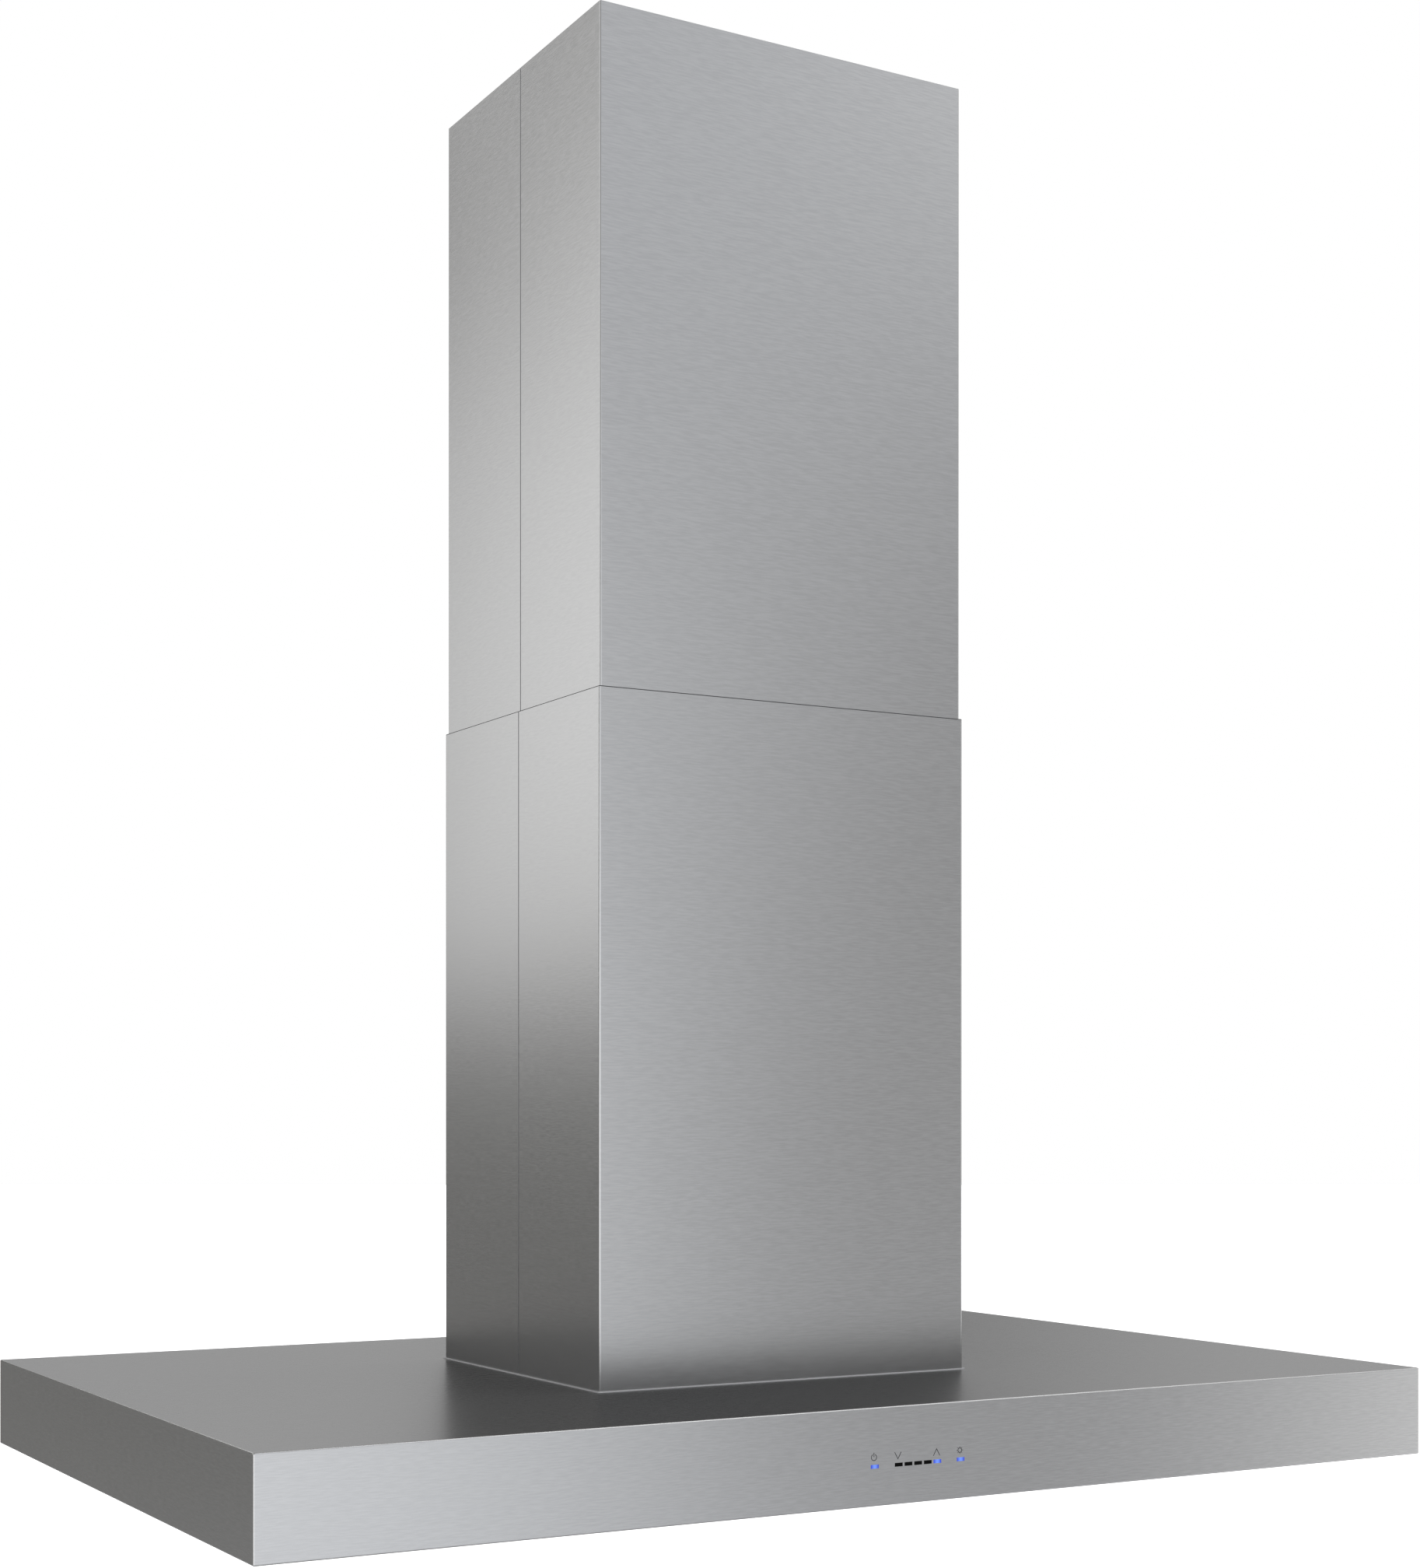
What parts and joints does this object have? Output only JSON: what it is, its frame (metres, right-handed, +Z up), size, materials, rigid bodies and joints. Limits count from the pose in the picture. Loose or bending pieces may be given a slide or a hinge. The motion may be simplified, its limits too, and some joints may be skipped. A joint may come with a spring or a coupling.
{
  "type": "island range hood",
  "caption": "Flat box canopy of brushed steel hung from the ceiling on a square telescopic duct cover, with touch controls, blower, damper, baffle filters and lamps.",
  "frame": {"origin": "centre of the ceiling plate's top face, where the four slotted ceiling bolt holes are centred", "axes": "+Z up towards the ceiling, the controls face -Y, +X to the right as seen from the controls' side"},
  "size_m": [1.066, 0.686, 1.1935],
  "materials": {
    "brushed_steel": "horizontal brushed grain",
    "galvanised_steel": "zinc-coated sheet, faint spangle",
    "zinc_hardware": "bright zinc plate",
    "motor_paint": "satin black paint",
    "capacitor_case": "smooth moulded",
    "dark_plastic": "fine moulded texture",
    "circuit_board": "solder resist",
    "lit_indicator": "clear, lit blue",
    "unlit_indicator": "smoked, unlit",
    "lamp_trim": "satin turned ring",
    "lamp_glass": "frosted",
    "cable_sheath": "matt sheath"
  },
  "bodies": {
    "ceiling_frame": {"ceiling_plate": "galvanised_steel", "ceiling_frame_bolts": "zinc_hardware", "upper_cover_front": "brushed_steel", "upper_cover_rear": "brushed_steel", "upper_upright_front_left": "galvanised_steel", "upper_upright_front_right": "galvanised_steel", "upper_upright_rear_left": "galvanised_steel", "upper_upright_rear_right": "galvanised_steel"},
    "hood": {"canopy_shell": "brushed_steel", "underside_panel": "brushed_steel", "panel_screws": "zinc_hardware", "lower_cover_front": "brushed_steel", "lower_cover_rear": "brushed_steel", "cover_foot_frame": "brushed_steel", "deck_screws": "zinc_hardware", "frame_clamp_bolts": "zinc_hardware", "upright_foot_bolts": "zinc_hardware", "lower_upright_front_left": "galvanised_steel", "lower_upright_front_right": "galvanised_steel", "lower_upright_rear_left": "galvanised_steel", "lower_upright_rear_right": "galvanised_steel", "blower_chamber": "galvanised_steel", "scroll_wrap": "galvanised_steel", "scroll_side_left": "galvanised_steel", "scroll_side_right": "galvanised_steel", "outlet_transition": "galvanised_steel", "motor_body": "motor_paint", "motor_bracket": "galvanised_steel", "capacitor": "capacitor_case", "damper_collar": "galvanised_steel", "damper_pin": "zinc_hardware", "junction_box": "galvanised_steel", "junction_box_lid": "galvanised_steel", "cable_clamp": "zinc_hardware", "power_board_box": "dark_plastic", "touch_board": "circuit_board", "lit_indicators": "lit_indicator", "unlit_indicators": "unlit_indicator", "lamp_body_front_left": "lamp_trim", "lamp_body_front_right": "lamp_trim", "lamp_body_rear_left": "lamp_trim", "lamp_body_rear_right": "lamp_trim", "lamp_lens_front_left": "lamp_glass", "lamp_lens_front_right": "lamp_glass", "lamp_lens_rear_left": "lamp_glass", "lamp_lens_rear_right": "lamp_glass", "filter_pivot_clips": "dark_plastic", "filter_spring_clips": "brushed_steel", "motor_cable": "cable_sheath", "canopy_wiring": "cable_sheath"},
    "blower_wheel": {"blower_wheel": "galvanised_steel", "motor_shaft": "zinc_hardware"},
    "damper_flap_front": {"damper_flap_front": "galvanised_steel"},
    "damper_flap_rear": {"damper_flap_rear": "galvanised_steel"},
    "filter_left": {"filter_frame_left": "brushed_steel", "filter_baffles_left": "brushed_steel", "filter_handle_left": "brushed_steel"},
    "filter_right": {"filter_frame_right": "brushed_steel", "filter_baffles_right": "brushed_steel", "filter_handle_right": "brushed_steel"}
  },
  "joints": [
    {"name": "height_adjust", "type": "slide", "parent": "ceiling_frame", "child": "hood", "axis": [0, 0, 1], "range_m": [0, 0.46]},
    {"name": "blower_spin", "type": "hinge", "parent": "hood", "child": "blower_wheel", "pos_m": [0, -0.026, -0.996], "axis": [1, 0, 0], "continuous": true},
    {"name": "damper_front", "type": "hinge", "parent": "hood", "child": "damper_flap_front", "pos_m": [0, 0, -0.782], "axis": [-1, 0, 0], "range_deg": [0, 78]},
    {"name": "damper_rear", "type": "hinge", "parent": "hood", "child": "damper_flap_rear", "pos_m": [0, 0, -0.782], "axis": [1, 0, 0], "range_deg": [0, 78]},
    {"name": "filter_left_swing", "type": "hinge", "parent": "hood", "child": "filter_left", "pos_m": [-0.192, 0.183, -1.1733], "axis": [1, 0, 0], "range_deg": [0, 75]},
    {"name": "filter_right_swing", "type": "hinge", "parent": "hood", "child": "filter_right", "pos_m": [0.192, 0.183, -1.1733], "axis": [1, 0, 0], "range_deg": [0, 75]}
  ]
}
